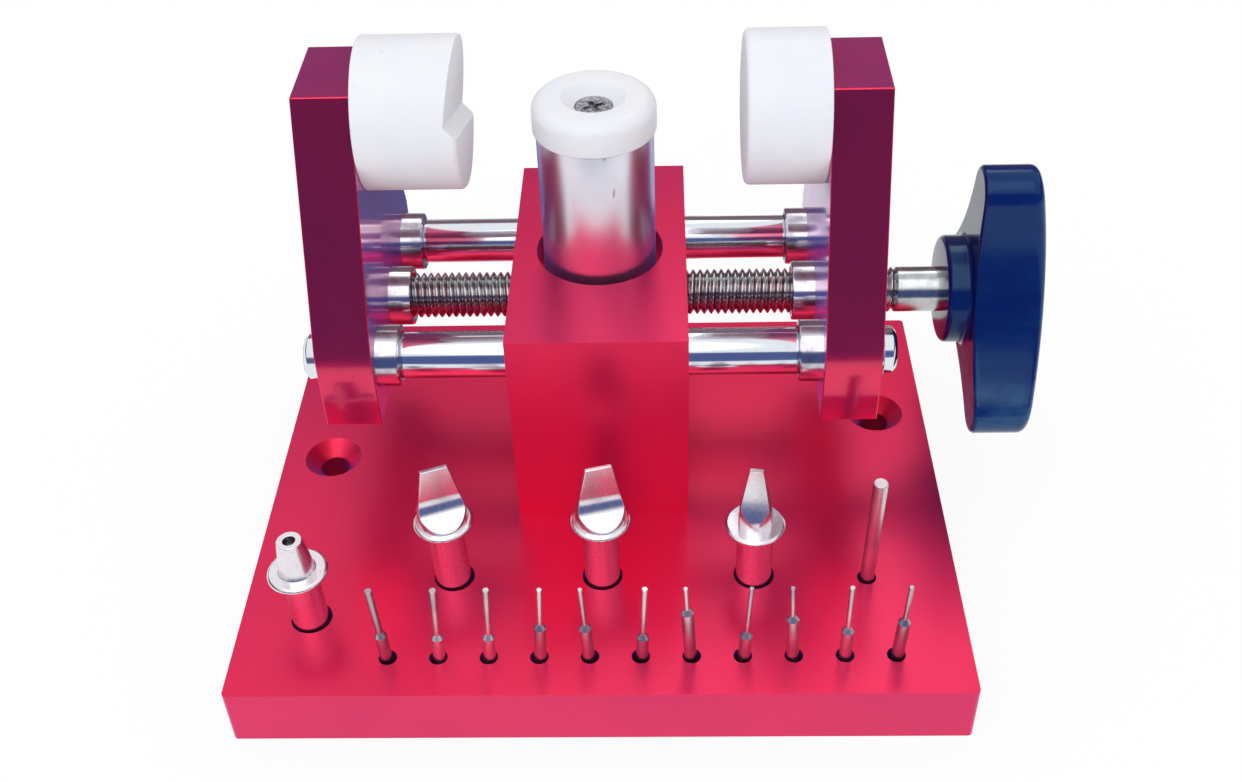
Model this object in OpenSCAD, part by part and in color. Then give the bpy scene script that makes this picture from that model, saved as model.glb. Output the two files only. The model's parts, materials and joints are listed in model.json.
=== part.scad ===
// Bench fixture for opening watch cases: two nylon jaws on arms that a double-handed screw closes
// over a nylon-capped post, with drivers, a pin holder and spare pins stored upright in the base.
// The origin is the middle of the base plate's underside, +X to the knob, +Y to the back, +Z up.

/* [Base plate] */
// Width of the base plate, left to right
base_w = 120; // [116:1:160]
// Depth of the base plate, front to back
base_d = 95; // [94:1:130]
// Thickness of the base plate
base_t = 11; // [10.5:0.5:16]
// Radius of the base plate's upright corners
base_corner = 0.8; // [0.5:0.1:5]
// Bore of the two bench screw holes
bench_hole_d = 5.3; // [4.3:0.1:6.5]
// Mouth of the countersink over each bench screw hole
bench_sink_d = 10.4; // [9:0.2:12]
// Distance of the bench screw holes in from the plate's sides
bench_inset = 9; // [7.5:0.5:10]
// Distance of the left bench screw hole from the plate's front edge
left_bench_front = 55.5; // [48:0.5:62]
// Distance of the right bench screw hole from the plate's front edge
right_bench_front = 66.5; // [48:0.5:72]

/* [Centre block] */
// Width of the centre block, left to right
block_w = 30; // [27:1:34]
// Depth of the centre block, front to back
block_d = 53; // [50:1:56]
// Height of the centre block above the base plate
block_h = 39; // [38:0.5:44]
// Distance from the plate's back edge to the line of the screw and the post
line_back = 28.5; // [28:0.5:32]
// Diameter of the socket that the post stands in
socket_d = 22; // [21.2:0.2:24]
// Metal left between the socket's floor and the screw's bore
socket_web = 1.3; // [0.8:0.1:3]

/* [Guide rods] */
// Diameter of each guide rod
rod_d = 8; // [6:0.5:8.5]
// Distance from the screw to each guide rod
rod_spread = 17; // [15:0.5:18]
// Height of the rods and the screw above the base plate
rod_rise = 29.2; // [27:0.2:30]
// Length of rod that stands out past each arm
rod_stub = 3; // [2:0.5:8]
// Chamfer on the ends of the rods
rod_chamfer = 0.8; // [0.3:0.1:1.2]

/* [Lead screw] */
// Diameter over the thread
screw_d = 8; // [7:0.5:8.5]
// Pitch of the left-hand and the right-hand thread
thread_pitch = 1.25; // [1:0.25:1.5]
// Plain length of the screw between its thread and the knob
shank_len = 7.7; // [6:0.1:14]
// Length of the screw that is held in the knob
screw_in_knob = 12; // [9:0.5:13]
// Radial clearance of every sliding or turning fit
running_gap = 0.05; // [0.03:0.01:0.09]
// Radial clearance of every fixed fit
seat_gap = 0.02; // [0.01:0.01:0.05]

/* [Arms] */
// Distance between the inner faces of the two arms
arm_gap = 75; // [70:1:82]
// Thickness of each arm
arm_t = 9.5; // [9:0.5:11]
// Width of the lower part of an arm, front to back
arm_low_w = 47.4; // [46:0.2:52]
// Width of an arm at its top, front to back
arm_top_w = 17; // [15:0.5:24]
// Height of an arm's underside above the base plate
arm_bottom = 19.3; // [16:0.1:20]
// Height of the bend in an arm's edges above the base plate
arm_bend = 34.4; // [33:0.2:40]
// Height of an arm's top above the base plate
arm_top = 74; // [72:0.5:80]
// How far the arms can open from where they stand
open_travel = 5; // [3:0.5:8]

/* [Bushes] */
// Outer diameter of the guide bushes and the screw nuts
bush_d = 10.5; // [10:0.1:12]
// Length of a bush that stands out of the arm's inner face
bush_proud = 3.85; // [2:0.05:6]
// Diameter of the lip on a guide bush's outer end
lip_d = 9.2; // [9:0.1:9.8]
// Length of the lip that stands out of the arm's outer face
lip_proud = 0.7; // [0.3:0.1:1.5]

/* [Jaws] */
// Diameter of each nylon jaw
jaw_d = 25; // [22:0.5:28]
// Height of the jaws' axis above the base plate
jaw_rise = 66.3; // [64:0.1:68]
// Length of the left jaw
left_jaw_len = 16.4; // [14:0.1:19]
// Length of the right jaw
right_jaw_len = 13.2; // [12:0.1:19]
// Depth of the notch in the left jaw's face, at its inner corner
notch_in = 1.95; // [1:0.05:3]
// Height of the notch's inner corner above the jaw's axis, before the jaw is turned
notch_rise = -0.5; // [-2:0.1:3]
// Lean of the notch's back wall out of upright
notch_lean = 7; // [0:1:12]
// Slope of the notch's ledge, down towards the face
notch_slope = 45; // [0:1:60]
// Turn of the left jaw about its screw, which tips the ledge down at the back
left_jaw_turn = 20; // [-90:1:90]
// Chamfer round each jaw's face
jaw_chamfer = 0.9; // [0.3:0.1:1.5]
// Thread diameter of the screw that holds each jaw
jaw_screw_d = 5; // [4:0.5:6]

/* [Support post] */
// Diameter of the support post
post_d = 19.5; // [17:0.5:20]
// Height of the post's top above the base plate
post_top = 63.1; // [58:0.1:68]
// Diameter of the post's nylon cap
cap_d = 20.5; // [17:0.5:21]
// Thickness of the post's nylon cap
cap_t = 5.7; // [5:0.1:8]
// Head diameter of the cap's screw
cap_screw_head = 6.3; // [5:0.1:7]
// How far the cap's screw head lies below the cap's face
cap_screw_sunk = 1.8; // [1:0.1:2.2]

/* [Knob] */
// Diameter of the knob's hub
hub_d = 19; // [16:0.5:21]
// Length of the knob's hub
hub_len = 4; // [3:0.5:8]
// Distance from the knob's axis to the tip of each lobe
lobe_reach = 26.2; // [24:0.1:28]
// Radius of the rounded tip of each lobe
lobe_tip = 4.8; // [4:0.1:6]
// Distance from the knob's axis to the valley between two lobes
valley_reach = 11.4; // [11:0.1:13]
// Thickness of the knob at the tips of its lobes
lobe_t = 9.3; // [8:0.1:12]
// Height of the dome on the knob's outer face
knob_dome = 3.2; // [2:0.1:5]
// Angle of the first lobe, from the front upwards
lobe_angle = 84; // [0:1:120]

/* [Stored drivers] */
// Distance of the row of drivers from the plate's front edge
driver_row = 25.3; // [22:0.1:27]
// Diameter of the drivers' shanks
driver_d = 6; // [5:0.1:6.5]
// Diameter of the drivers' flanges
flange_d = 9.9; // [9:0.1:10.8]
// Thickness of the drivers' flanges
flange_t = 1.2; // [1:0.1:2.5]
// Height of the wide blades' flanges above the base plate
wide_rise = 12.7; // [9:0.1:15]
// Height of the narrow blade's flange above the base plate
narrow_rise = 11.3; // [9:0.1:15]
// Depth of the holes that the drivers and pins stand in
store_depth = 8; // [6:0.5:9]
// Radial clearance of the drivers in their holes
driver_gap = 0.4; // [0.35:0.05:0.6]
// Width of the wide blades at the root
wide_root = 8.2; // [6:0.1:9]
// Width of the wide blades at the tip
wide_tip = 4.4; // [3:0.1:5.5]
// Width of the narrow blade at the root
narrow_root = 5.7; // [4:0.1:6.5]
// Width of the narrow blade at the tip
narrow_tip = 2.1; // [1.5:0.1:3.5]
// Height of the wide blades' tips above the base plate
wide_top = 25.2; // [22:0.1:30]
// Height of the narrow blade's tip above the base plate
narrow_top = 24.2; // [21:0.1:29]
// Thickness of the blades at the tip
blade_edge = 0.8; // [0.5:0.1:1.2]
// Radius of the narrow blade's hollow faces
grind_r = 20; // [18:1:26]
// Radius of the hollow at the foot of the wide blades' faces
hollow_r = 4; // [2:0.5:6]
// Rise of the slope between a wide blade's rim and its hollow, in degrees
root_slope = 42; // [30:1:55]
// Place of the left wide blade from the plate's middle
left_blade_x = -25.2; // [-28:0.1:-24]
// Place of the right wide blade from the plate's middle
right_blade_x = 0.1; // [-4:0.1:4]
// Place of the narrow blade from the plate's middle
narrow_blade_x = 25.8; // [23:0.1:28]

/* [Pin holder and punch] */
// Place of the pin holder from the plate's middle
holder_x = -48.2; // [-50:0.1:-46]
// Distance of the pin holder from the plate's front edge
holder_front = 16.3; // [12:0.1:18]
// Height of the pin holder's nose above the base plate
holder_top = 18.4; // [16:0.1:22]
// Height of the pin holder's flange above the base plate
holder_rise = 10.6; // [8:0.1:13]
// Diameter of the pin holder's nose
nose_d = 4.1; // [3.6:0.1:5]
// Bore of the pin holder
nose_bore = 2; // [1.5:0.1:2.5]
// Place of the punch from the plate's middle
punch_x = 44.8; // [43:0.1:47]
// Diameter of the punch
punch_d = 2.4; // [2:0.1:3]
// Height of the punch above the base plate
punch_top = 22.1; // [18:0.1:30]

/* [Stored pins] */
// Distance of the row of pins from the plate's front edge
pin_row = 7.7; // [6:0.1:8.5]
// Place of the first pin from the plate's middle
first_pin_x = -34.3; // [-36:0.1:-33]
// Distance from pin to pin
pin_pitch = 8.2; // [7.6:0.1:8.3]
// Diameter of the pins' shanks
pin_d = 2; // [1.8:0.1:2.2]
// Diameter of the holes that the pins stand in
pin_hole_d = 3; // [2.9:0.1:3.4]
// Height of the pins' tips above the base plate
pin_top = 16.1; // [14:0.1:20]

/* [Hidden] */
$fn = 64;

// A cut reaches this far past the face it opens
over = 1;
// Two forms of one piece run this far into each other
weld = 0.2;
// A blind hole is drilled this much deeper than what stands in it
drill_past = 0.5;
// Chamfers of the turned pieces, from barely broken to plain to see
fine_edge = 0.1;
small_edge = 0.4;
plain_edge = 0.5;
red = [0.80, 0.08, 0.20];
nylon = [0.93, 0.93, 0.95];
bright = [0.80, 0.81, 0.84];
dark_steel = [0.24, 0.24, 0.27];
navy = [0.05, 0.07, 0.20];
brass = [0.80, 0.62, 0.30];

// Places shared by the pieces
front_y = -base_d / 2;
line_y = base_d / 2 - line_back;
screw_z = base_t + rod_rise;
rod_front_y = line_y - rod_spread;
rod_rear_y = line_y + rod_spread;
arm_in = arm_gap / 2;
arm_out = arm_in + arm_t;
jaw_z = base_t + jaw_rise;
rod_len = 2 * (arm_out + rod_stub);
store_floor = base_t - store_depth;

// Base plate
sink_deep = (bench_sink_d - bench_hole_d) / 2;
bench_x = base_w / 2 - bench_inset;
driver_y = front_y + driver_row;
driver_hole_d = driver_d + 2 * driver_gap;
punch_y = driver_y - 0.9;
punch_hole_d = punch_d + 2 * driver_gap;
holder_y = front_y + holder_front;
pin_y = front_y + pin_row;
block_bolt_d = 6;
block_bolt_head = 10;
block_bolt_head_t = 6;
block_bolt_in = 12;
block_bolt_slack = 0.3;
block_bolt_sunk = 0.5;
block_bolt_tip = 0.6;
block_bolt_hex = 0.92 * block_bolt_d;
block_bolt_hex_deep = 3;
block_bolt_shank = base_t - block_bolt_sunk - block_bolt_head_t + block_bolt_in;

// Screw, socket and block
screw_bore_d = screw_d + 2 * running_gap;
socket_floor = screw_z + screw_bore_d / 2 + socket_web;
thread_deep = 0.6134 * thread_pitch;
thread_run_out = 0.4;
thread_end = arm_out + open_travel + 0.3;
screw_left = -rod_len / 2;
hub_x = thread_end + shank_len;
screw_right = hub_x + screw_in_knob;
groove_w = 3.4;
groove_d = 5.6;
screw_chamfer = 0.8;
dog_d = 3;
dog_gap = 0.2;
dog_len = (screw_bore_d - groove_d) / 2 + 0.4;
lock_screw_d = 5;
lock_screw_len = 8;
lock_screw_x = 9;
lock_screw_hex = 0.55 * lock_screw_d;
lock_screw_hex_deep = 2.5;

// Jaws
jaw_screw_head_d = 1.65 * jaw_screw_d;
jaw_screw_head_t = 4.4;
jaw_screw_deep = 10;
jaw_screw_hex = 0.8 * jaw_screw_d;
jaw_screw_hex_deep = 2.2;
jaw_screw_sunk = 0.3;
jaw_screw_under_head = jaw_screw_deep + arm_t - jaw_screw_head_t;

// Post
cap_edge = 0.8;
cap_screw_head_t = 2;
cap_screw_d = 3.5;
cap_screw_len = 14;
cap_screw_foot = cap_screw_len - 2;
cap_screw_edge = 0.3;
cap_recess_d = cap_screw_head + 4.4;
post_len = base_t + post_top - socket_floor;
cross_w = 0.9;
cross_len = 3.6;
cross_deep = 1;

// Knob
knob_x = hub_x + hub_len;
insert_d = 12;
insert_lip = 1.5;
insert_len = screw_in_knob - insert_lip + 0.2;
insert_hole = screw_in_knob - insert_lip + 0.3;
tip_out = lobe_reach - lobe_tip;
flank_r = flank_centre(tip_out, valley_reach - lobe_tip) - valley_reach;
flank_out = flank_r + valley_reach;
// The hollow flanks run this far into the round tips
flank_bite = 0.02;
dome_r = (lobe_reach * lobe_reach + knob_dome * knob_dome) / (2 * knob_dome);

// Leans of the loose drivers, the punch and the pins in their holes, in degrees to the right,
// and turns of the blades about their own axes
holder_lean = -1.8;
left_blade_lean = -1.8;
right_blade_lean = 0.3;
narrow_blade_lean = -0.5;
punch_lean = 1.2;
left_blade_turn = 19;
right_blade_turn = 15;
narrow_blade_turn = -8;
pin_lean = [-3, 2.3, 2.5, 2.7, -2.7, 2.6, -2.9, 2.8, -2.6, 0.1, 2.5];
pin_shoulder = [5.9, 5.4, 5.4, 7.6, 7.4, 5.2, 10.9, 5.4, 9.2, 6.4, 8.3];
pin_tip_d = [1.2, 1.2, 1.1, 0.9, 0.8, 1.0, 0.8, 0.8, 0.8, 0.9, 0.8];
pin_taper = 0.9;
pin_foot = 0.2;
// A loose tool's foot clears the floor of its hole by this much
foot_gap = 0.02;

// Shape of the drivers above their flanges
blade_flare = 0.3;
root_rim = 0.4;
hollow_bite = 0.02;
nose_flare = 2;
nose_solid = 1;

// Distance from the knob's axis to the centres of the arcs that hollow its flanks:
// each arc touches the round tips on both sides and passes the valley
function flank_centre(tip_at, spare) = (tip_at * tip_at - spare * spare) / (tip_at - 2 * spare);

// One turn of thread after another, as the outline of a screw lying along x
function thread_outline(from_x, to_x) =
    let (turns = floor((to_x - from_x) / thread_pitch), pad = (to_x - from_x - turns * thread_pitch) / 2)
    [for (i = [0:turns - 1], p = [[0, thread_deep], [0.42, 0], [0.58, 0], [1, thread_deep]])
        if (p[0] < 1 || i == turns - 1)
            [screw_d / 2 - p[1], from_x + pad + (i + p[0]) * thread_pitch]];

// Children drawn along z are laid along x from the given place
module along_x(x, y, z) {
    translate([x, y, z]) rotate([0, 90, 0]) children();
}

// A profile drawn in the y-z plane is made a slab from x to x + t
module slab_x(x, t) {
    translate([x, 0, 0]) rotate([90, 0, 90]) linear_extrude(t) children();
}

// A cylinder with chamfered ends, standing on the origin
module chamfered_rod(d, len, low, high) {
    cylinder(d1 = d - 2 * low, d2 = d, h = low);
    translate([0, 0, low]) cylinder(d = d, h = len - low - high);
    translate([0, 0, len - high]) cylinder(d1 = d, d2 = d - 2 * high, h = high);
}

// A rectangle with round corners, about the origin
module round_rectangle(w, d, r) {
    square([w - 2 * r, d], center = true);
    square([w, d - 2 * r], center = true);
    for (sx = [-1, 1], sy = [-1, 1])
        translate([sx * (w / 2 - r), sy * (d / 2 - r)]) circle(r);
}

module bench_hole(x, front) {
    translate([x, front_y + front, -over]) {
        cylinder(d = bench_hole_d, h = base_t + 2 * over);
        translate([0, 0, over + base_t - sink_deep])
            cylinder(d1 = bench_hole_d, d2 = bench_sink_d + 2 * over, h = sink_deep + over);
    }
}

module store_hole(x, y, d) {
    translate([x, y, store_floor]) cylinder(d = d, h = store_depth + over);
}

function pin_x(i) = first_pin_x + i * pin_pitch;

module base_plate() {
    color(red) difference() {
        linear_extrude(base_t) round_rectangle(base_w, base_d, base_corner);
        bench_hole(-bench_x, left_bench_front);
        bench_hole(bench_x, right_bench_front);
        for (x = [left_blade_x, right_blade_x, narrow_blade_x]) store_hole(x, driver_y, driver_hole_d);
        store_hole(holder_x, holder_y, driver_hole_d);
        store_hole(punch_x, punch_y, punch_hole_d);
        for (i = [0:10]) store_hole(pin_x(i), pin_y, pin_hole_d);
        for (y = [rod_front_y, rod_rear_y]) translate([0, y, -over]) {
            cylinder(d = block_bolt_d + 2 * block_bolt_slack, h = base_t + 2 * over);
            cylinder(d = block_bolt_head + 2 * block_bolt_slack,
                h = over + block_bolt_sunk + block_bolt_head_t);
        }
    }
}

// The two cap screws that hold the centre block down from under the plate
module block_screws() {
    color(dark_steel) for (y = [rod_front_y, rod_rear_y]) translate([0, y, block_bolt_sunk]) difference() {
        union() {
            chamfered_rod(block_bolt_head, block_bolt_head_t, plain_edge, fine_edge);
            translate([0, 0, block_bolt_head_t])
                chamfered_rod(block_bolt_d, block_bolt_shank, fine_edge, block_bolt_tip);
        }
        translate([0, 0, -over])
            cylinder(d = block_bolt_hex, h = over + block_bolt_hex_deep, $fn = 6);
    }
}

module centre_block() {
    color(red) difference() {
        translate([-block_w / 2, line_y - block_d / 2, base_t]) cube([block_w, block_d, block_h]);
        for (y = [rod_front_y, rod_rear_y]) {
            along_x(-block_w / 2 - over, y, screw_z)
                cylinder(d = rod_d + 2 * seat_gap, h = block_w + 2 * over);
            translate([0, y, base_t - over])
                cylinder(d = block_bolt_d + 2 * seat_gap, h = over + block_bolt_in + 2 * drill_past);
            translate([lock_screw_x, y, base_t - over])
                cylinder(d = lock_screw_d + 2 * seat_gap, h = over + rod_rise);
        }
        along_x(-block_w / 2 - over, line_y, screw_z) cylinder(d = screw_bore_d, h = block_w + 2 * over);
        translate([0, line_y, base_t - over])
            cylinder(d = lock_screw_d + 2 * seat_gap, h = over + rod_rise);
        translate([0, line_y, socket_floor])
            cylinder(d = socket_d, h = base_t + block_h - socket_floor + over);
    }
}

module guide_rod(y) {
    color(bright) along_x(-rod_len / 2, y, screw_z) chamfered_rod(rod_d, rod_len, rod_chamfer, rod_chamfer);
}

module guide_rod_front() guide_rod(rod_front_y);

module guide_rod_rear() guide_rod(rod_rear_y);

module socket_set_screw(len) {
    difference() {
        chamfered_rod(lock_screw_d, len, small_edge, small_edge);
        translate([0, 0, -over])
            cylinder(d = lock_screw_hex, h = over + lock_screw_hex_deep, $fn = 6);
    }
}

// Set screws inside the block that hold the two guide rods still
module rod_lock_screws() {
    color(dark_steel) for (y = [rod_front_y, rod_rear_y])
        translate([lock_screw_x, y, screw_z - rod_d / 2 - lock_screw_len])
            socket_set_screw(lock_screw_len);
}

// The dog-pointed set screw that keeps the lead screw from moving along its own line
module screw_retainer() {
    foot_z = screw_z - groove_d / 2 - dog_gap - dog_len - lock_screw_len;
    color(dark_steel) translate([0, line_y, foot_z]) {
        socket_set_screw(lock_screw_len);
        translate([0, 0, lock_screw_len - weld]) cylinder(d = dog_d, h = dog_len + weld);
    }
}

// The screw has one thread on each side of the block; its rings stand at the real pitch
module lead_screw() {
    r = screw_d / 2;
    color(bright) along_x(0, line_y, screw_z) rotate_extrude($fn = 48) polygon(concat(
        [[0, screw_left], [r - screw_chamfer, screw_left]],
        thread_outline(screw_left + screw_chamfer, -block_w / 2),
        [[r, -block_w / 2 + thread_run_out], [r, -groove_w / 2], [groove_d / 2, -groove_w / 2]],
        [[groove_d / 2, groove_w / 2], [r, groove_w / 2], [r, block_w / 2 - thread_run_out]],
        thread_outline(block_w / 2, thread_end),
        [[r, thread_end + thread_run_out], [r, screw_right - screw_chamfer]],
        [[r - screw_chamfer, screw_right], [0, screw_right]]));
}

// The outline of the knob: round lobe tips joined by hollow flanks
module knob_outline() {
    touch = tip_out + lobe_tip * (flank_out * cos(60) - tip_out) / (flank_r + lobe_tip);
    side = lobe_tip * flank_out * sin(60) / (flank_r + lobe_tip);
    difference() {
        union() {
            for (a = [0, 120, 240]) rotate(a) translate([tip_out, 0]) circle(lobe_tip);
            polygon([for (a = [0, 120, 240], s = [-1, 1])
                [touch * cos(a) - s * side * sin(a), touch * sin(a) + s * side * cos(a)]]);
        }
        for (a = [60, 180, 300]) rotate(a) translate([flank_out, 0]) circle(flank_r + flank_bite, $fn = 180);
    }
}

module knob() {
    color(navy) difference() {
        union() {
            along_x(hub_x, line_y, screw_z) cylinder(d = hub_d, h = hub_len + over);
            intersection() {
                along_x(knob_x, line_y, screw_z) rotate(270 - lobe_angle)
                    linear_extrude(lobe_t + knob_dome) knob_outline();
                translate([knob_x + lobe_t + knob_dome - dome_r, line_y, screw_z])
                    rotate(180) sphere(dome_r, $fn = 180);
            }
        }
        along_x(hub_x - over, line_y, screw_z)
            cylinder(d = screw_d + 2 * seat_gap, h = over + insert_lip + drill_past);
        along_x(hub_x + insert_lip, line_y, screw_z)
            cylinder(d = insert_d + 2 * seat_gap, h = insert_hole);
    }
}

// The threaded brass insert that is moulded into the knob
module knob_insert() {
    color(brass) along_x(hub_x + insert_lip, line_y, screw_z) difference() {
        cylinder(d = insert_d, h = insert_len);
        translate([0, 0, -over]) cylinder(d = screw_d + 2 * seat_gap, h = insert_len + 2 * over);
    }
}

// Each arm is drawn for the right-hand side, and mirrored for the left
module arm_body() {
    low = arm_low_w / 2;
    top = arm_top_w / 2;
    difference() {
        slab_x(arm_in, arm_t) polygon([
            [line_y - low, base_t + arm_bottom], [line_y + low, base_t + arm_bottom],
            [line_y + low, base_t + arm_bend], [line_y + top, base_t + arm_top],
            [line_y - top, base_t + arm_top], [line_y - low, base_t + arm_bend]]);
        for (y = [rod_front_y, line_y, rod_rear_y])
            along_x(arm_in - over, y, screw_z) cylinder(d = bush_d + 2 * seat_gap, h = arm_t + 2 * over);
        along_x(arm_in - over, line_y, jaw_z)
            cylinder(d = jaw_screw_d + 2 * running_gap, h = arm_t + 2 * over);
        along_x(arm_out - jaw_screw_head_t, line_y, jaw_z)
            cylinder(d = jaw_screw_head_d + 4 * running_gap, h = jaw_screw_head_t + over);
    }
}

// A guide bush runs from its collar inside the jaws to its lip outside the arm
module bush_body(y) {
    along_x(arm_in - bush_proud, y, screw_z) difference() {
        union() {
            chamfered_rod(bush_d, bush_proud + arm_t, small_edge, fine_edge);
            translate([0, 0, bush_proud + arm_t]) cylinder(d = lip_d, h = lip_proud);
        }
        translate([0, 0, -over])
            cylinder(d = rod_d + 2 * running_gap, h = bush_proud + arm_t + lip_proud + 2 * over);
    }
}

module nut_body() {
    along_x(arm_in - bush_proud, line_y, screw_z) difference() {
        chamfered_rod(bush_d, bush_proud + arm_t, small_edge, fine_edge);
        translate([0, 0, -over]) cylinder(d = screw_bore_d, h = bush_proud + arm_t + 2 * over);
    }
}

module jaw_body(len) {
    along_x(arm_in - len, line_y, jaw_z) difference() {
        chamfered_rod(jaw_d, len, jaw_chamfer, fine_edge);
        translate([0, 0, len - jaw_screw_deep - drill_past])
            cylinder(d = jaw_screw_d + 2 * seat_gap, h = jaw_screw_deep + drill_past + over);
    }
}

module jaw_screw_body() {
    along_x(arm_in - jaw_screw_deep, line_y, jaw_z) difference() {
        union() {
            chamfered_rod(jaw_screw_d, jaw_screw_under_head, plain_edge, fine_edge);
            translate([0, 0, jaw_screw_under_head])
                chamfered_rod(jaw_screw_head_d, jaw_screw_head_t - jaw_screw_sunk, fine_edge, small_edge);
        }
        translate([0, 0, jaw_screw_deep + arm_t - jaw_screw_sunk - jaw_screw_hex_deep])
            cylinder(d = jaw_screw_hex, h = jaw_screw_hex_deep + over, $fn = 6);
    }
}

module right_arm() color(red) arm_body();

module right_front_bush() color(bright) bush_body(rod_front_y);

module right_rear_bush() color(bright) bush_body(rod_rear_y);

module right_nut() color(bright) nut_body();

module right_jaw() color(nylon) jaw_body(right_jaw_len);

module right_jaw_screw() color(dark_steel) jaw_screw_body();

module left_arm() color(red) mirror([1, 0, 0]) arm_body();

module left_front_bush() color(bright) mirror([1, 0, 0]) bush_body(rod_front_y);

module left_rear_bush() color(bright) mirror([1, 0, 0]) bush_body(rod_rear_y);

module left_nut() color(bright) mirror([1, 0, 0]) nut_body();

// The notch runs right across the left jaw's face, and the rim of a case sits on its ledge
module left_jaw() {
    ledge_end = notch_rise - (notch_in + over) * tan(notch_slope);
    wall_end = (jaw_d - notch_rise) * tan(notch_lean) - notch_in;
    color(nylon) difference() {
        mirror([1, 0, 0]) jaw_body(left_jaw_len);
        translate([left_jaw_len - arm_in, line_y, jaw_z]) rotate([-left_jaw_turn, 0, 0])
            translate([0, jaw_d, 0]) rotate([90, 0, 0]) linear_extrude(2 * jaw_d) polygon([
                [-notch_in, notch_rise],
                [over, ledge_end],
                [jaw_d, ledge_end],
                [jaw_d, jaw_d],
                [wall_end, jaw_d],
            ]);
    }
}

module left_jaw_screw() color(dark_steel) mirror([1, 0, 0]) jaw_screw_body();

module support_post() {
    color(bright) translate([0, line_y, socket_floor]) difference() {
        chamfered_rod(post_d, post_len, plain_edge, fine_edge);
        translate([0, 0, post_len - cap_screw_len])
            cylinder(d = cap_screw_d + 2 * seat_gap, h = cap_screw_len + over);
    }
}

module post_cap() {
    color(nylon) translate([0, line_y, base_t + post_top]) difference() {
        chamfered_rod(cap_d, cap_t, fine_edge, cap_edge);
        translate([0, 0, -over]) cylinder(d = cap_screw_d + 2 * running_gap, h = cap_t + 2 * over);
        translate([0, 0, cap_t - cap_screw_sunk - cap_screw_head_t])
            cylinder(d = cap_screw_head + 2 * running_gap, h = cap_screw_head_t + cap_screw_sunk);
        translate([0, 0, cap_t - cap_screw_sunk])
            cylinder(d1 = cap_screw_head + 2 * running_gap, d2 = cap_recess_d, h = cap_screw_sunk);
        translate([0, 0, cap_t]) cylinder(d = cap_recess_d, h = over);
    }
}

module post_cap_screw() {
    head_z = base_t + post_top + cap_t - cap_screw_sunk - cap_screw_head_t;
    shank = cap_screw_foot + cap_t - cap_screw_sunk - cap_screw_head_t;
    color(bright) translate([0, line_y, head_z]) difference() {
        union() {
            chamfered_rod(cap_screw_head, cap_screw_head_t, fine_edge, cap_screw_edge);
            translate([0, 0, -shank])
                chamfered_rod(cap_screw_d, shank + weld, small_edge, fine_edge);
        }
        for (a = [25, 115]) rotate(a) translate([-cross_len / 2, -cross_w / 2, cap_screw_head_t - cross_deep])
            cube([cross_len, cross_w, cross_deep + over]);
    }
}

// Stands children of radius r in a stored hole, leaning by a few degrees about the hole's middle
module stand_in_hole(x, y, lean, r) {
    translate([x, y, base_t - store_depth / 2]) rotate([0, lean, 0])
        translate([0, 0, r * abs(sin(lean)) + foot_gap - store_depth / 2]) children();
}

// A driver stands on its foot: a shank, a flange at this height above the base plate,
// and on the flange, children from their own origin up
module driver(rise) {
    chamfered_rod(driver_d, store_depth + rise + weld, small_edge, fine_edge);
    translate([0, 0, store_depth + rise]) chamfered_rod(flange_d, flange_t, small_edge, small_edge);
    translate([0, 0, store_depth + rise + flange_t - weld]) children();
}

function blade_len(rise, top) = top - rise - flange_t + weld;

// A blade from a round neck of its root's width, less the children, which grind its faces
module blade(root, tip, rise, top) {
    wide = root / 2 + blade_flare;
    len = blade_len(rise, top);
    driver(rise) difference() {
        intersection() {
            cylinder(d = root, h = len);
            rotate([90, 0, 0]) linear_extrude(root + 2 * over, center = true)
                polygon([[-wide, 0], [wide, 0], [tip / 2, len], [-tip / 2, len]]);
        }
        children();
    }
}

// What leaves both faces of a wide blade straight, with a hollow and a slope down to its root's rim.
// The flat cuts end just inside the hollow, so that no two faces only touch
module wide_grind() {
    len = blade_len(wide_rise, wide_top);
    face = blade_edge / 2 + hollow_bite;
    mid_y = blade_edge / 2 + hollow_r;
    mid_z = root_rim + (hollow_r - (mid_y - wide_root / 2) * sin(root_slope)) / cos(root_slope);
    slope_r = hollow_r - hollow_bite;
    for (s = [0, 1]) mirror([0, s, 0]) {
        translate([0, mid_y, mid_z]) rotate([0, 90, 0])
            cylinder(r = hollow_r, h = 2 * wide_root, center = true, $fn = 120);
        rotate([90, 0, 90]) linear_extrude(2 * wide_root, center = true) polygon([
            [mid_y, mid_z],
            [face, mid_z],
            [face, len + over],
            [wide_root, len + over],
            [wide_root, root_rim + hollow_bite - (wide_root / 2) * tan(root_slope)],
            [mid_y - slope_r * sin(root_slope), mid_z - slope_r * cos(root_slope)]
        ]);
    }
}

// What leaves both faces of the narrow blade hollow over their whole length
module narrow_grind() {
    for (s = [-1, 1]) translate([0, s * (grind_r + blade_edge / 2), blade_len(narrow_rise, narrow_top)])
        rotate([0, 90, 0]) cylinder(r = grind_r, h = 2 * narrow_root, center = true, $fn = 180);
}

module left_wide_blade() {
    color(bright) stand_in_hole(left_blade_x, driver_y, left_blade_lean, driver_d / 2)
        rotate(left_blade_turn) blade(wide_root, wide_tip, wide_rise, wide_top) wide_grind();
}

module right_wide_blade() {
    color(bright) stand_in_hole(right_blade_x, driver_y, right_blade_lean, driver_d / 2)
        rotate(right_blade_turn) blade(wide_root, wide_tip, wide_rise, wide_top) wide_grind();
}

module narrow_blade() {
    color(bright) stand_in_hole(narrow_blade_x, driver_y, narrow_blade_lean, driver_d / 2)
        rotate(narrow_blade_turn) blade(narrow_root, narrow_tip, narrow_rise, narrow_top) narrow_grind();
}

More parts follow.
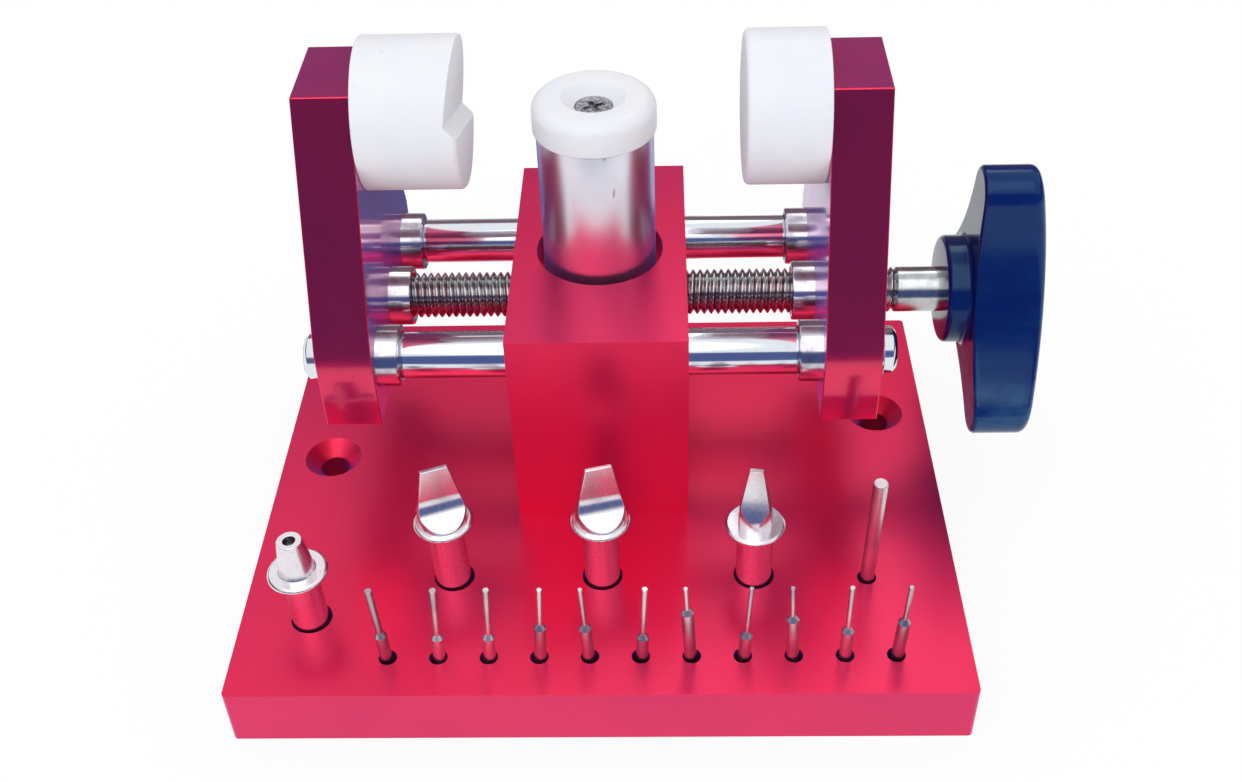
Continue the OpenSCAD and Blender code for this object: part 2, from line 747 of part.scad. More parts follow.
// The hollow-nosed holder that takes a spare pin
module pin_holder() {
    len = holder_top - holder_rise - flange_t + weld;
    color(bright) stand_in_hole(holder_x, holder_y, holder_lean, driver_d / 2) driver(holder_rise)
        difference() {
            cylinder(d1 = nose_d + nose_flare, d2 = nose_d, h = len);
            translate([0, 0, nose_solid]) cylinder(d = nose_bore, h = len + over);
        }
}

module punch() {
    color(bright) stand_in_hole(punch_x, punch_y, punch_lean, punch_d / 2)
        chamfered_rod(punch_d, store_depth + punch_top, small_edge, fine_edge);
}

// One stored pin: a thick shank, a short taper and a thin tip
module stored_pin(i) {
    low = store_depth + pin_shoulder[i] - pin_taper / 2;
    color(bright) stand_in_hole(pin_x(i), pin_y, pin_lean[i], pin_d / 2) {
        cylinder(d1 = pin_d - 2 * pin_foot, d2 = pin_d, h = pin_foot);
        translate([0, 0, pin_foot]) cylinder(d = pin_d, h = low - pin_foot);
        translate([0, 0, low]) cylinder(d1 = pin_d, d2 = pin_tip_d[i], h = pin_taper);
        translate([0, 0, low + pin_taper])
            cylinder(d = pin_tip_d[i], h = store_depth + pin_top - low - pin_taper);
    }
}

module pin_1() stored_pin(0);

module pin_2() stored_pin(1);

module pin_3() stored_pin(2);

module pin_4() stored_pin(3);

module pin_5() stored_pin(4);

module pin_6() stored_pin(5);

module pin_7() stored_pin(6);

module pin_8() stored_pin(7);

module pin_9() stored_pin(8);

module pin_10() stored_pin(9);

module pin_11() stored_pin(10);

base_plate();
block_screws();
centre_block();
guide_rod_front();
guide_rod_rear();
rod_lock_screws();
screw_retainer();
lead_screw();
knob();
knob_insert();
left_arm();
left_front_bush();
left_rear_bush();
left_nut();
left_jaw();
left_jaw_screw();
right_arm();
right_front_bush();
right_rear_bush();
right_nut();
right_jaw();
right_jaw_screw();
support_post();
post_cap();
post_cap_screw();
pin_holder();
left_wide_blade();
right_wide_blade();
narrow_blade();
punch();
pin_1();
pin_2();
pin_3();
pin_4();
pin_5();
pin_6();
pin_7();
pin_8();
pin_9();
pin_10();
pin_11();
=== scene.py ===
"""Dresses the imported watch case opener: fine shapes, finishes, studio and camera."""

import json
import math

import bmesh
import bpy
from bpy.props import FloatProperty, FloatVectorProperty, IntProperty, PointerProperty
from mathutils import Matrix, Vector

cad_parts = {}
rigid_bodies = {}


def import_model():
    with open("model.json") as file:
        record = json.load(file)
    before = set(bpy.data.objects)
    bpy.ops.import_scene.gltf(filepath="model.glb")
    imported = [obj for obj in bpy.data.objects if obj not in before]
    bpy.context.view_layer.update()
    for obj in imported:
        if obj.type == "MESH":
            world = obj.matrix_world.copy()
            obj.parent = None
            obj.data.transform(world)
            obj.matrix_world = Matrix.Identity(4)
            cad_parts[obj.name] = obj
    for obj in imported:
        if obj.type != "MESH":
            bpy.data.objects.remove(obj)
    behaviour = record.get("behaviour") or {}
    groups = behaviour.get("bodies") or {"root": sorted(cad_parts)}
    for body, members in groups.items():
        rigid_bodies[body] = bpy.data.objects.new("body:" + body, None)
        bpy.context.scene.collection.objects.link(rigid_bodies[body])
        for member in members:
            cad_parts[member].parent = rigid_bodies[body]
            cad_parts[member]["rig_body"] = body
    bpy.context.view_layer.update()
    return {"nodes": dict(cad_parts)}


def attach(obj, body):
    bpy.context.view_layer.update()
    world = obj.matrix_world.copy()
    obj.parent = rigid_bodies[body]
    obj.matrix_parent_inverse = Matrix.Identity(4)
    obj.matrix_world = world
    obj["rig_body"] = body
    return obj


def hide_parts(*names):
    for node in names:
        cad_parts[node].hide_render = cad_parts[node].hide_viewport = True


bl_info = {
    "name": "Watch case opener",
    "version": (1, 0, 0),
    "blender": (4, 5, 0),
    "location": "View3D > Sidebar > Opener",
    "description": "Fine shapes, finishes, studio and camera for the packed watch case opener",
    "category": "Object",
}

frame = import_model()

MM = 0.001
LINE_Y = 19 * MM  # the upright plane through the screw, the jaws and the post
SCREW_Z = 40.2 * MM
JAW_Z = 77.3 * MM
BASE_TOP = 11 * MM
STORE_DEPTH = 8 * MM
ROD_SPREAD = 17 * MM  # from the screw to each guide rod
ARM_IN = 37.5 * MM  # from the middle of the part to an arm's inner face
ARM_T = 9.5 * MM
ALONG_X = [0.0, math.pi / 2, 0.0]  # lays a piece that was made along Z along X

SCREW_R = 4 * MM
RUN_OUT = 0.6 * MM  # length over which a thread runs out
THREAD_DEPTH = 0.6134  # of the pitch
LEAD_IN = 2  # turns wound before a thread's start, which cuts them off
SPARE_TURNS = 5  # turns wound beyond a thread's length, the lead-in among them
# Places along one pitch, and how deep the V is cut there
THREAD_FORM = (
    (0.0, 1.0), (0.05, 0.96), (0.40, 0.09), (0.45, 0.0), (0.55, 0.0), (0.60, 0.09), (0.95, 0.96),
)

# Place along the row in mm, lean in degrees, then the shoulder's height and the tip's diameter in mm
STORED_PINS = (
    (-34.3, -3, 5.9, 1.2), (-26.1, 2.3, 5.4, 1.2), (-17.9, 2.5, 5.4, 1.1), (-9.7, 2.7, 7.6, 0.9),
    (-1.5, -2.7, 7.4, 0.8), (6.7, 2.6, 5.2, 1.0), (14.9, -2.9, 10.9, 0.8), (23.1, 2.8, 5.4, 0.8),
    (31.3, -2.6, 9.2, 0.8), (39.5, 0.1, 6.4, 0.9), (47.7, 2.5, 8.3, 0.8),
)


class Net:
    """A node tree that is being built."""

    def __init__(self, tree):
        self.tree = tree
        tree.nodes.clear()

    def add(self, kind, inputs=None, output=0, items=0, **settings):
        """Makes a node: its settings first, then the values or wires of its sockets.

        It gives the wire of one output, or for None all of them by name.
        """
        node = self.tree.nodes.new(kind)
        for key, value in settings.items():
            setattr(node, key, value)
        for _ in range(items - 2):
            node.index_switch_items.new()
        for key, value in (inputs or {}).items():
            if isinstance(value, Wire):
                self.tree.links.new(value.socket, node.inputs[key])
            else:
                node.inputs[key].default_value = value
        if output is None:
            return {o.name: Wire(self, o) for o in node.outputs}
        return Wire(self, node.outputs[output])

    def mix(self, share, low, high):
        return self.add("ShaderNodeMix", {0: share, 6: low, 7: high}, 2, data_type="RGBA")

    def scaled(self, place, by):
        return self.add("ShaderNodeVectorMath", {0: place, 1: by}, operation="MULTIPLY")

    def noise(self, place, scale, detail=2.0, rough=0.5):
        sockets = {"Vector": place, "Scale": scale, "Detail": detail, "Roughness": rough}
        return self.add("ShaderNodeTexNoise", sockets)

    def bump(self, height, depth, strength=1.0):
        return self.add("ShaderNodeBump", {"Height": height, "Distance": depth, "Strength": strength})


class Wire:
    """An output socket that Python's operators work on."""

    def __init__(self, net, socket):
        self.net, self.socket = net, socket

    def math(self, operation, *values):
        return self.net.add("ShaderNodeMath", dict(enumerate(values)), operation=operation)

    def __add__(self, other):
        return self.math("ADD", self, other)

    def __radd__(self, other):
        return self.math("ADD", other, self)

    def __sub__(self, other):
        return self.math("SUBTRACT", self, other)

    def __rsub__(self, other):
        return self.math("SUBTRACT", other, self)

    def __mul__(self, other):
        return self.math("MULTIPLY", self, other)

    def __rmul__(self, other):
        return self.math("MULTIPLY", other, self)

    def __truediv__(self, other):
        return self.math("DIVIDE", self, other)

    def __gt__(self, other):
        return self.math("GREATER_THAN", self, other)

    def floor(self):
        return self.math("FLOOR", self)

    def least(self, other):
        return self.math("MINIMUM", self, other)

    def most(self, other):
        return self.math("MAXIMUM", self, other)

    def cos(self):
        return self.math("COSINE", self)

    def sin(self):
        return self.math("SINE", self)

    def ease(self, low, high):
        """0 below low, 1 above high, and smooth between them."""
        sockets = {"Value": self, "From Min": low, "From Max": high}
        return self.net.add("ShaderNodeMapRange", sockets, interpolation_type="SMOOTHSTEP")


def colour(red, green, blue):
    return (red, green, blue, 1.0)


def material_net(name):
    """The material of this name, and an empty net for its nodes."""
    made = bpy.data.materials.get(name) or bpy.data.materials.new(name)
    made.use_nodes = True
    return made, Net(made.node_tree)


def finish(name, recipe):
    """A piece's material, made from its recipe, which gives the shader's sockets."""
    made, net = material_net(name)
    place = net.add("ShaderNodeTexCoord", output="Object")
    shader = net.add("ShaderNodeBsdfPrincipled", recipe(net, place))
    net.add("ShaderNodeOutputMaterial", {"Surface": shader}, None)
    return made


def dyed(net, place, grain):
    """What all red faces share: clouded dye in aluminium, under a faint blue sheen that is a painted blue
    reflection.
    """
    choice = bpy.context.scene.opener_finishes
    clouds = net.noise(place, 30, 2).ease(0.35, 0.65)
    dye = net.mix(clouds * 0.5, choice.red, choice.deep_red)
    return {
        "Base Color": net.mix(grain.ease(0.55, 0.8) * 0.25, dye, choice.deep_red),
        "Metallic": 0.92,
        "Sheen Roughness": 0.6,
        # The blue sheen tint paints a faint blue reflection on the red faces
        "Sheen Tint": colour(0.05, 0.15, 1.0),
    }


def anodised(net, place):
    """Blasted and anodised aluminium with fine grain and faint handling marks."""
    grain = net.noise(place, 4200, 2, 0.6)
    handling = net.noise(net.scaled(place, (1, 0.5, 1.6)), 210, 4, 0.6)
    return dyed(net, place, grain) | {
        "Roughness": 0.27 + handling * 0.1 + grain * 0.06,
        "Coat Weight": 0.3,
        "Coat Roughness": 0.25,
        # Weight of the painted blue sheen
        "Sheen Weight": 0.3,
        "Normal": net.bump(grain, 3e-6),
    }


def smooth_anodised(net, place):
    """The arms' faces, milled finer before they were dyed, so that they mirror at a low angle."""
    grain = net.noise(place, 4200, 2, 0.6)
    return dyed(net, place, grain) | {
        "Roughness": 0.13 + net.noise(place, 160, 3, 0.6) * 0.08,
        "Coat Weight": 0.8,
        "Coat Roughness": 0.06,
        # Weight of the painted blue sheen, stronger on the arms
        "Sheen Weight": 0.36,
        "Normal": net.bump(grain, 1e-6),
    }


def anodised_edge(net, place):
    """The broken edges of the red parts, a little paler than their faces: partly machined through the dye,
    partly a painted highlight along the edges.
    """
    choice = bpy.context.scene.opener_finishes
    grain = net.noise(place, 2600, 2, 0.6)
    return {
        "Base Color": net.mix(grain.ease(0.4, 0.7) * 0.5, choice.red, colour(0.80, 0.08, 0.16)),
        "Metallic": 0.9,
        "Roughness": 0.24 + grain * 0.1,
        "Coat Weight": 0.3,
        "Coat Roughness": 0.25,
    }


def ground_bar(net, place):
    """Hard bright bar, ground round: fine rings along its length and a few dull spots."""
    rings = net.noise(net.scaled(place, (9000, 3, 3)), 1, 2, 0.6)
    wear = net.noise(place, 260, 3, 0.6).ease(0.5, 0.75)
    return {
        "Base Color": net.mix(wear * 0.5, colour(0.75, 0.80, 0.86), colour(0.60, 0.64, 0.72)),
        "Metallic": 1.0,
        "Roughness": 0.09 + rings * 0.07 + wear * 0.06,
        "Normal": net.bump(rings, 7e-7),
    }


def turned_steel(net, place):
    """Bright turned steel of the bushes and nuts, with tool marks round it."""
    marks = net.noise(net.scaled(place, (5200, 12, 12)), 1, 3, 0.65)
    stain = net.noise(place, 330, 3, 0.6).ease(0.45, 0.7)
    return {
        "Base Color": net.mix(stain * 0.7, colour(0.60, 0.57, 0.63), colour(0.36, 0.32, 0.40)),
        "Metallic": 1.0,
        "Roughness": 0.1 + marks * 0.1 + stain * 0.05,
        "Normal": net.bump(marks, 1e-6),
    }


def cut_thread(net, place):
    """Cut thread: bright flanks with a thin film of oil that darkens them in patches."""
    tooling = net.noise(place, 1800, 3, 0.6)
    oil = net.noise(place, 420, 3, 0.55).ease(0.4, 0.7)
    return {
        "Base Color": net.mix(oil * 0.6, colour(0.52, 0.54, 0.54), colour(0.30, 0.31, 0.34)),
        "Metallic": 1.0,
        "Roughness": 0.12 + tooling * 0.12,
        "Normal": net.bump(tooling, 8e-7),
    }


def turned_aluminium(net, place):
    """Satin turned aluminium with fine rings, faint stains and a few short scratches.

    Its specular and sheen tints paint a dark blue reflection on it where it curves away.
    """
    rings = net.noise(net.scaled(place, (14, 14, 6500)), 1, 3, 0.6)
    stain = net.noise(place, 150, 4, 0.65)
    streak = net.noise(net.scaled(place, (900, 900, 260)), 1, 2, 0.5).ease(0.71, 0.76)
    wear = streak * 0.7 + stain * 0.12
    return {
        "Base Color": net.mix(wear, colour(0.84, 0.85, 0.91), colour(0.45, 0.44, 0.52)),
        "Metallic": 1.0,
        "Roughness": 0.22 + rings * 0.08 + stain * 0.08 + streak * 0.1,
        # Painted dark blue reflection on the curving sides, from these tints
        "Specular Tint": colour(0.4, 0.4, 0.6),
        "Sheen Weight": 0.35,
        "Sheen Roughness": 0.5,
        "Sheen Tint": colour(0.12, 0.2, 1.0),
        "Normal": net.bump(rings + streak * 1.5, 1.4e-6),
    }


def nylon(net, place):
    """Milky white nylon, faintly mottled, with a few faint specks of dirt."""
    choice = bpy.context.scene.opener_finishes
    milk = net.noise(place, 190, 3, 0.55)
    fuzz = net.noise(place, 3400, 2, 0.6)
    dirt = net.noise(place, 620, 3, 0.6).ease(0.69, 0.76)
    milky = net.mix(milk.ease(0.35, 0.7) * 0.6, choice.nylon, colour(0.73, 0.76, 0.84))
    return {
        "Base Color": net.mix(dirt * 0.3, milky, colour(0.52, 0.51, 0.58)),
        "Roughness": 0.36 + milk * 0.14 + fuzz * 0.06,
        "Subsurface Weight": 0.12,
        "Subsurface Radius": (0.0022, 0.002, 0.0018),
        "Subsurface Scale": 1.0,
        "Normal": net.bump(fuzz, 5e-6),
    }


def moulded_plastic(net, place):
    """Glossy navy moulded plastic with a slight orange peel, wipe marks and a painted pale reflection on a
    band round its lower part.
    """
    choice = bpy.context.scene.opener_finishes
    peel = net.noise(place, 650, 2, 0.5)
    wipe = net.noise(net.scaled(place, (0.7, 1, 2.2)), 140, 4, 0.65)
    height = net.add("ShaderNodeSeparateXYZ", {0: place}, "Z")
    # A painted pale reflection on a band below the knob's middle, broken up by the wipe pattern
    low_reflection_band = height.ease(21 * MM, 25 * MM) * (1 - height.ease(31 * MM, 34 * MM))
    painted_reflection = low_reflection_band * wipe.ease(0.3, 0.6)
    worn = net.mix(wipe.ease(0.35, 0.75) * 0.5, choice.knob, colour(0.002, 0.024, 0.125))
    return {
        "Base Color": net.mix(painted_reflection * 0.5, worn, colour(0.03, 0.10, 0.22)),
        "Roughness": 0.1 + wipe * 0.12,
        "Specular IOR Level": 0.35,
        # The specular tint paints the knob's reflections teal
        "Specular Tint": colour(0.5, 0.95, 1.0),
        "Normal": net.bump(peel, 1.2e-5, 0.5),
    }


def nickel(net, place):
    """Bright nickel over ground steel, with grinding grain and small specks."""
    grain = net.noise(net.scaled(place, (2600, 2600, 500)), 1, 3, 0.65)
    specks = net.noise(place, 2400, 2, 0.6).ease(0.58, 0.74)
    return {
        "Base Color": net.mix(specks * 0.45, colour(0.82, 0.79, 0.83), colour(0.40, 0.36, 0.47)),
        "Metallic": 1.0,
        "Roughness": 0.15 + grain * 0.14 + specks * 0.1,
        "Normal": net.bump(grain, 2e-6),
    }


def pin_steel(net, place):
    """Ground pin steel, tempered darker in places."""
    grain = net.noise(net.scaled(place, (1500, 1500, 5200)), 1, 3, 0.6)
    temper = net.noise(place, 95, 2, 0.5).ease(0.35, 0.65)
    return {
        "Base Color": net.mix(temper * 0.8, colour(0.72, 0.68, 0.70), colour(0.34, 0.30, 0.36)),
        "Metallic": 1.0,
        "Roughness": 0.22 + grain * 0.16,
        "Normal": net.bump(grain, 2e-6),
    }


def zinc(net, place):
    """Dull zinc plate of the cap's screw, worn dark in the recess."""
    blotch = net.noise(place, 1500, 3, 0.6)
    return {
        "Base Color": net.mix(blotch.ease(0.42, 0.6), colour(0.50, 0.50, 0.53), colour(0.20, 0.20, 0.23)),
        "Metallic": 1.0,
        "Roughness": 0.26 + blotch * 0.2,
        "Normal": net.bump(blotch, 6e-6),
    }


def black_oxide(net, place):
    """Black oxide on socket screws, rubbed paler here and there."""
    rub = net.noise(place, 700, 3, 0.6)
    return {
        "Base Color": net.mix(rub.ease(0.5, 0.75), colour(0.035, 0.035, 0.045), colour(0.12, 0.12, 0.14)),
        "Metallic": 0.8,
        "Roughness": 0.34 + rub * 0.16,
        "Normal": net.bump(rub, 4e-6),
    }


def brass(net, place):
    """Knurled brass of the knob's insert."""
    tone = net.noise(place, 500, 3, 0.6)
    return {
        "Base Color": net.mix(tone, colour(0.72, 0.50, 0.20), colour(0.50, 0.33, 0.12)),
        "Metallic": 1.0,
        "Roughness": 0.25 + tone * 0.15,
        "Normal": net.bump(tone, 4e-6),
    }


def rounded(corners, steps=6):
    """Rounds the corners of an open outline, each given as (across, along, radius)."""
    points = []
    for i, (across, along, radius) in enumerate(corners):
        here = Vector((across, along))
        if not radius:
            points.append(here)
            continue
        back = (Vector(corners[i - 1][:2]) - here).normalized()
        on = (Vector(corners[i + 1][:2]) - here).normalized()
        half = back.angle(on) / 2
        centre = here + (back + on).normalized() * (radius / math.sin(half))
        start = here + back * (radius / math.tan(half)) - centre
        stop = here + on * (radius / math.tan(half)) - centre
        first = math.atan2(start.y, start.x)
        sweep = (math.atan2(stop.y, stop.x) - first + math.pi) % math.tau - math.pi
        for k in range(steps + 1):
            turn = first + sweep * k / steps
            points.append(centre + Vector((math.cos(turn), math.sin(turn))) * radius)
    return points


def rings_mesh(name, rings, closed=False):
    """A mesh through rings of points; a ring of one point is a pole."""
    verts, faces, starts = [], [], []
    for ring in rings:
        starts.append(len(verts))
        verts.extend(ring)
    pairs = list(zip(range(len(rings)), range(1, len(rings))))
    if closed:
        pairs.append((len(rings) - 1, 0))
    for low, high in pairs:
        a, b = starts[low], starts[high]
        n, m = len(rings[low]), len(rings[high])
        for k in range(max(n, m)):
            j = (k + 1) % max(n, m)
            if n == 1:
                faces.append((a, b + j, b + k))
            elif m == 1:
                faces.append((a + k, a + j, b))
            else:
                faces.append((a + k, a + j, b + j, b + k))
    mesh = bpy.data.meshes.new(name)
    mesh.from_pydata(verts, [], faces)
    return mesh


def turned(name, outline, axis, foot, sides, closed=False):
    """Turns an outline of (radius, along) about a line through foot along x or z."""
    rings = []
    for radius, along in outline:
        ring = []
        for k in range(sides if radius > 1e-9 else 1):
            a, b = radius * math.cos(math.tau * k / sides), radius * math.sin(math.tau * k / sides)
            ring.append(Vector((a, b, along) if axis == "z" else (along, a, b)) + Vector(foot))
        rings.append(ring)
    return rings_mesh(name, rings, closed)


def reworked(mesh, change):
    """The same mesh after a change that is made in bmesh."""
    work = bmesh.new()
    work.from_mesh(mesh)
    change(work)
    work.to_mesh(mesh)
    work.free()
    return mesh


def smoothed(mesh, sharp=30):
    """Joins doubled points, turns all faces outwards and shades smooth between the real edges."""
    def cleaned(work):
        bmesh.ops.remove_doubles(work, verts=work.verts, dist=2e-7)
        bmesh.ops.recalc_face_normals(work, faces=work.faces)

    reworked(mesh, cleaned)
    mesh.polygons.foreach_set("use_smooth", [True] * len(mesh.polygons))
    mesh.set_sharp_from_angle(angle=math.radians(sharp))
    return mesh


def placed(name, data):
    """A new object in the scene."""
    made = bpy.data.objects.new(name, data)
    bpy.context.scene.collection.objects.link(made)
    return made


def show(name, mesh, material, slot, body, *nodes):
    """Puts a finished mesh on its body, in place of its CAD nodes."""
    if material is not None:
        mesh.materials.clear()
        mesh.materials.append(material)
    piece = placed(name, mesh)
    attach(piece, body)
    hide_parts(*nodes)


def body_of(node):
    return frame["nodes"][node]["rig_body"]


def cad_copy(node):
    """The node's shape as a clean new mesh: doubled points joined and flat faces whole again."""
    def cleaned(work):
        bmesh.ops.remove_doubles(work, verts=work.verts, dist=1e-6)
        flat = math.radians(0.5)
        bmesh.ops.dissolve_limit(work, angle_limit=flat, verts=work.verts, edges=work.edges)

    source = frame["nodes"][node].data
    mesh = bpy.data.meshes.new(node + "_copy")
    mesh.from_pydata([v.co for v in source.vertices], [], [list(p.vertices) for p in source.polygons])
    return reworked(mesh, cleaned)


def baked(mesh, build):
    """The mesh after the modifiers that build puts on it."""
    host = placed("host", mesh)
    build(host)
    graph = bpy.context.evaluated_depsgraph_get()
    result = bpy.data.meshes.new_from_object(host.evaluated_get(graph), depsgraph=graph)
    bpy.data.objects.remove(host)
    return result


def add_bevel(host, name, width, segments, limit):
    """Puts a bevel on the edges of the host that are sharper than the limit, in degrees."""
    bevel = host.modifiers.new(name, "BEVEL")
    bevel.width, bevel.segments = width, segments
    bevel.limit_method, bevel.angle_limit = "ANGLE", math.radians(limit)
    return bevel


def edges_broken(mesh, width, edge_slot):
    """Breaks every sharp edge of the mesh by a small round of this width, and keeps flat faces flat."""
    def bevelled(host):
        add_bevel(host, "Broken edges", width, segments=3, limit=32).material = edge_slot

    def levelled(host):
        weigh = host.modifiers.new("Flat faces", "WEIGHTED_NORMAL")
        weigh.mode, weigh.weight, weigh.keep_sharp = "FACE_AREA", 100, True

    return baked(smoothed(baked(mesh, bevelled), sharp=36), levelled)


def machined(name, node, material, slot, width, edge=None):
    """A machined piece: its CAD shape with every edge broken, and the breaks in the edge material."""
    mesh = cad_copy(node)
    mesh.materials.append(material)
    if edge:
        mesh.materials.append(edge)
    mesh = edges_broken(mesh, width, 1 if edge else -1)
    show(name, mesh, None, slot, body_of(node), node)


def tree_with_inputs(name, sizes):
    """A node tree for a modifier: an input for each size, and for the turn, place and finish."""
    tree = bpy.data.node_groups.new(name, "GeometryNodeTree")
    tree.is_modifier = True
    tree.interface.new_socket("Geometry", in_out="OUTPUT", socket_type="NodeSocketGeometry")
    kinds = dict.fromkeys(sizes, "Float") | {"Turn": "Vector", "Place": "Vector", "Finish": "Material"}
    for label, kind in kinds.items():
        tree.interface.new_socket(label, in_out="INPUT", socket_type="NodeSocket" + kind)
    net = Net(tree)
    return net, net.add("NodeGroupInput", output=None)


def grid_place(net, rows, sides):
    """A grid to wrap round an axis, and the row and the turn of each of its points."""
    grid = net.add("GeometryNodeMeshGrid", {"Vertices X": rows, "Vertices Y": sides + 1}, "Mesh")
    index = net.add("GeometryNodeInputIndex")
    row = ((index + 0.5) / (sides + 1)).floor()
    column = index - row * (sides + 1)
    return grid, row, column / sides


def wrapped(net, size, grid, radius, along, turn):
    """Wraps the grid round its axis, puts it in its place and ends the tree."""
    angle = turn * math.tau
    place = net.add("ShaderNodeCombineXYZ", {0: radius * angle.cos(), 1: radius * angle.sin(), 2: along})
    for kind, sockets in (
            ("GeometryNodeSetPosition", {"Position": place}),
            ("GeometryNodeMergeByDistance", {"Distance": 1e-6}),
            ("GeometryNodeTransform", {"Rotation": size["Turn"], "Translation": size["Place"]}),
            ("GeometryNodeRealizeInstances", {}),
            ("GeometryNodeSetMaterial", {"Material": size["Finish"]})):
        grid = net.add(kind, {"Geometry": grid} | sockets)
    net.add("NodeGroupOutput", {"Geometry": grid}, None)
    return net.tree


def picked(net, row, values):
    """The value that belongs to the row, out of a list of sizes and numbers."""
    sockets = {"Index": row}
    sockets.update({str(i): value for i, value in enumerate(values)})
    return net.add("GeometryNodeIndexSwitch", sockets, items=len(values), data_type="FLOAT")


def turned_tree(name, sizes, stations, sides):
    """A tree that turns one kind of piece; stations gives its (radius, along) pairs from its sizes."""
    net, size = tree_with_inputs(name, sizes)
    pairs = stations(size)
    grid, row, turn = grid_place(net, len(pairs), sides)
    radius, along = (picked(net, row, values) for values in zip(*pairs))
    return wrapped(net, size, grid, radius, along, turn)


def thread_tree(turns, sides):
    """A tree that cuts a thread: a V wound round the axis, which runs out at both ends."""
    sizes = ("Start", "End", "Pitch", "Radius", "Depth", "Hand")
    net, size = tree_with_inputs(f"Thread of {turns} turns", sizes)
    rows = len(THREAD_FORM)
    grid, row, turn = grid_place(net, turns * rows, sides)
    lap = (row / rows + 1e-4).floor()
    step = row - lap * rows
    phase, cut = (picked(net, step, values) for values in zip(*THREAD_FORM))
    along = size["Start"] + (lap - LEAD_IN + phase + size["Hand"] * turn) * size["Pitch"]
    along = along.most(size["Start"]).least(size["End"])
    edge = (along - size["Start"]).least(size["End"] - along)
    radius = size["Radius"] - size["Depth"] * cut * edge.ease(0.0, RUN_OUT)
    return wrapped(net, size, grid, radius, along, turn)


def grown(name, tree, values):
    """Runs a tree once with its named inputs set, and gives the plain mesh."""
    def build(host):
        growth = host.modifiers.new("Growth", "NODES")
        growth.node_group = tree
        for item in tree.interface.items_tree:
            if item.item_type == "SOCKET" and item.in_out == "INPUT" and item.name in values:
                growth[item.identifier] = values[item.name]
    mesh = baked(bpy.data.meshes.new(name), build)
    mesh.name = name
    return mesh


def joined(name, meshes):
    """One mesh out of several that meet."""
    work = bmesh.new()
    for mesh in meshes:
        work.from_mesh(mesh)
    whole = bpy.data.meshes.new(name)
    work.to_mesh(whole)
    work.free()
    return whole


def leaning(x, y, lean, radius):
    """Turn and place of a pin that leans to the right and stands just above the floor of its hole."""
    angle, clear, half = math.radians(lean), 0.02 * MM, STORE_DEPTH / 2
    spin = Matrix.Rotation(angle, 3, "Y")
    rise = radius * abs(math.sin(angle)) + clear - half
    place = Vector((x, y, BASE_TOP - half)) + spin @ Vector((0, 0, rise))
    return [0.0, angle, 0.0], list(place)


class OpenerSizes(bpy.types.PropertyGroup):
    """Sizes that a user would change."""

    plate_edge: FloatProperty(
        name="Red part edge", description="Width of the broken edges of the red parts",
        default=0.42 * MM, min=0.05 * MM, max=0.8 * MM, unit="LENGTH")
    jaw_edge: FloatProperty(
        name="Jaw edge", description="Round of the jaws' edges",
        default=0.9 * MM, min=0.2 * MM, max=2 * MM, unit="LENGTH")
    cap_edge: FloatProperty(
        name="Cap edge", description="Round of the cap's upper edge",
        default=2.2 * MM, min=0.2 * MM, max=2.6 * MM, unit="LENGTH")
    pitch: FloatProperty(
        name="Thread pitch", description="Pitch of both threads of the lead screw",
        default=1.25 * MM, min=0.8 * MM, max=1.75 * MM, unit="LENGTH")
    knob_edge: FloatProperty(
        name="Knob edge", description="Round of the knob's outer edge",
        default=1.8 * MM, min=0.5 * MM, max=3 * MM, unit="LENGTH")
    sides: IntProperty(
        name="Sides", description="Number of sides of the turned pieces", default=96, min=24, max=160)


class OpenerFinishes(bpy.types.PropertyGroup):
    """Colours that a user would change."""

    red: FloatVectorProperty(
        name="Red", description="Dye of the anodised parts", subtype="COLOR", size=4, min=0, max=1,
        default=colour(0.80, 0.012, 0.06))
    deep_red: FloatVectorProperty(
        name="Deep red", description="Darker clouds in the dye", subtype="COLOR", size=4, min=0, max=1,
        default=colour(0.66, 0.012, 0.07))
    nylon: FloatVectorProperty(
        name="Nylon", description="Colour of the jaws and the cap", subtype="COLOR", size=4, min=0, max=1,
        default=colour(0.78, 0.785, 0.82))
    knob: FloatVectorProperty(
        name="Knob", description="Colour of the knob", subtype="COLOR", size=4, min=0, max=1,
        default=colour(0.001, 0.010, 0.105))


class OPENER_OT_red_parts(bpy.types.Operator):
    """Base plate, centre block and both arms, machined and anodised red."""

    bl_idname = "opener.red_parts"
    bl_label = "Red parts"

    def execute(self, context):
        # The edge material carries a painted highlight along the broken edges
        satin, edge = finish("Anodised red", anodised), finish("Anodised red edge", anodised_edge)
        smooth = finish("Smooth anodised red", smooth_anodised)
        width = context.scene.opener_sizes.plate_edge
        faces = {"base_plate": satin, "centre_block": satin, "left_arm": smooth, "right_arm": smooth}
        for node, face in faces.items():
            machined(node + "_machined", node, face, "red_anodised", width, edge)
        return {"FINISHED"}


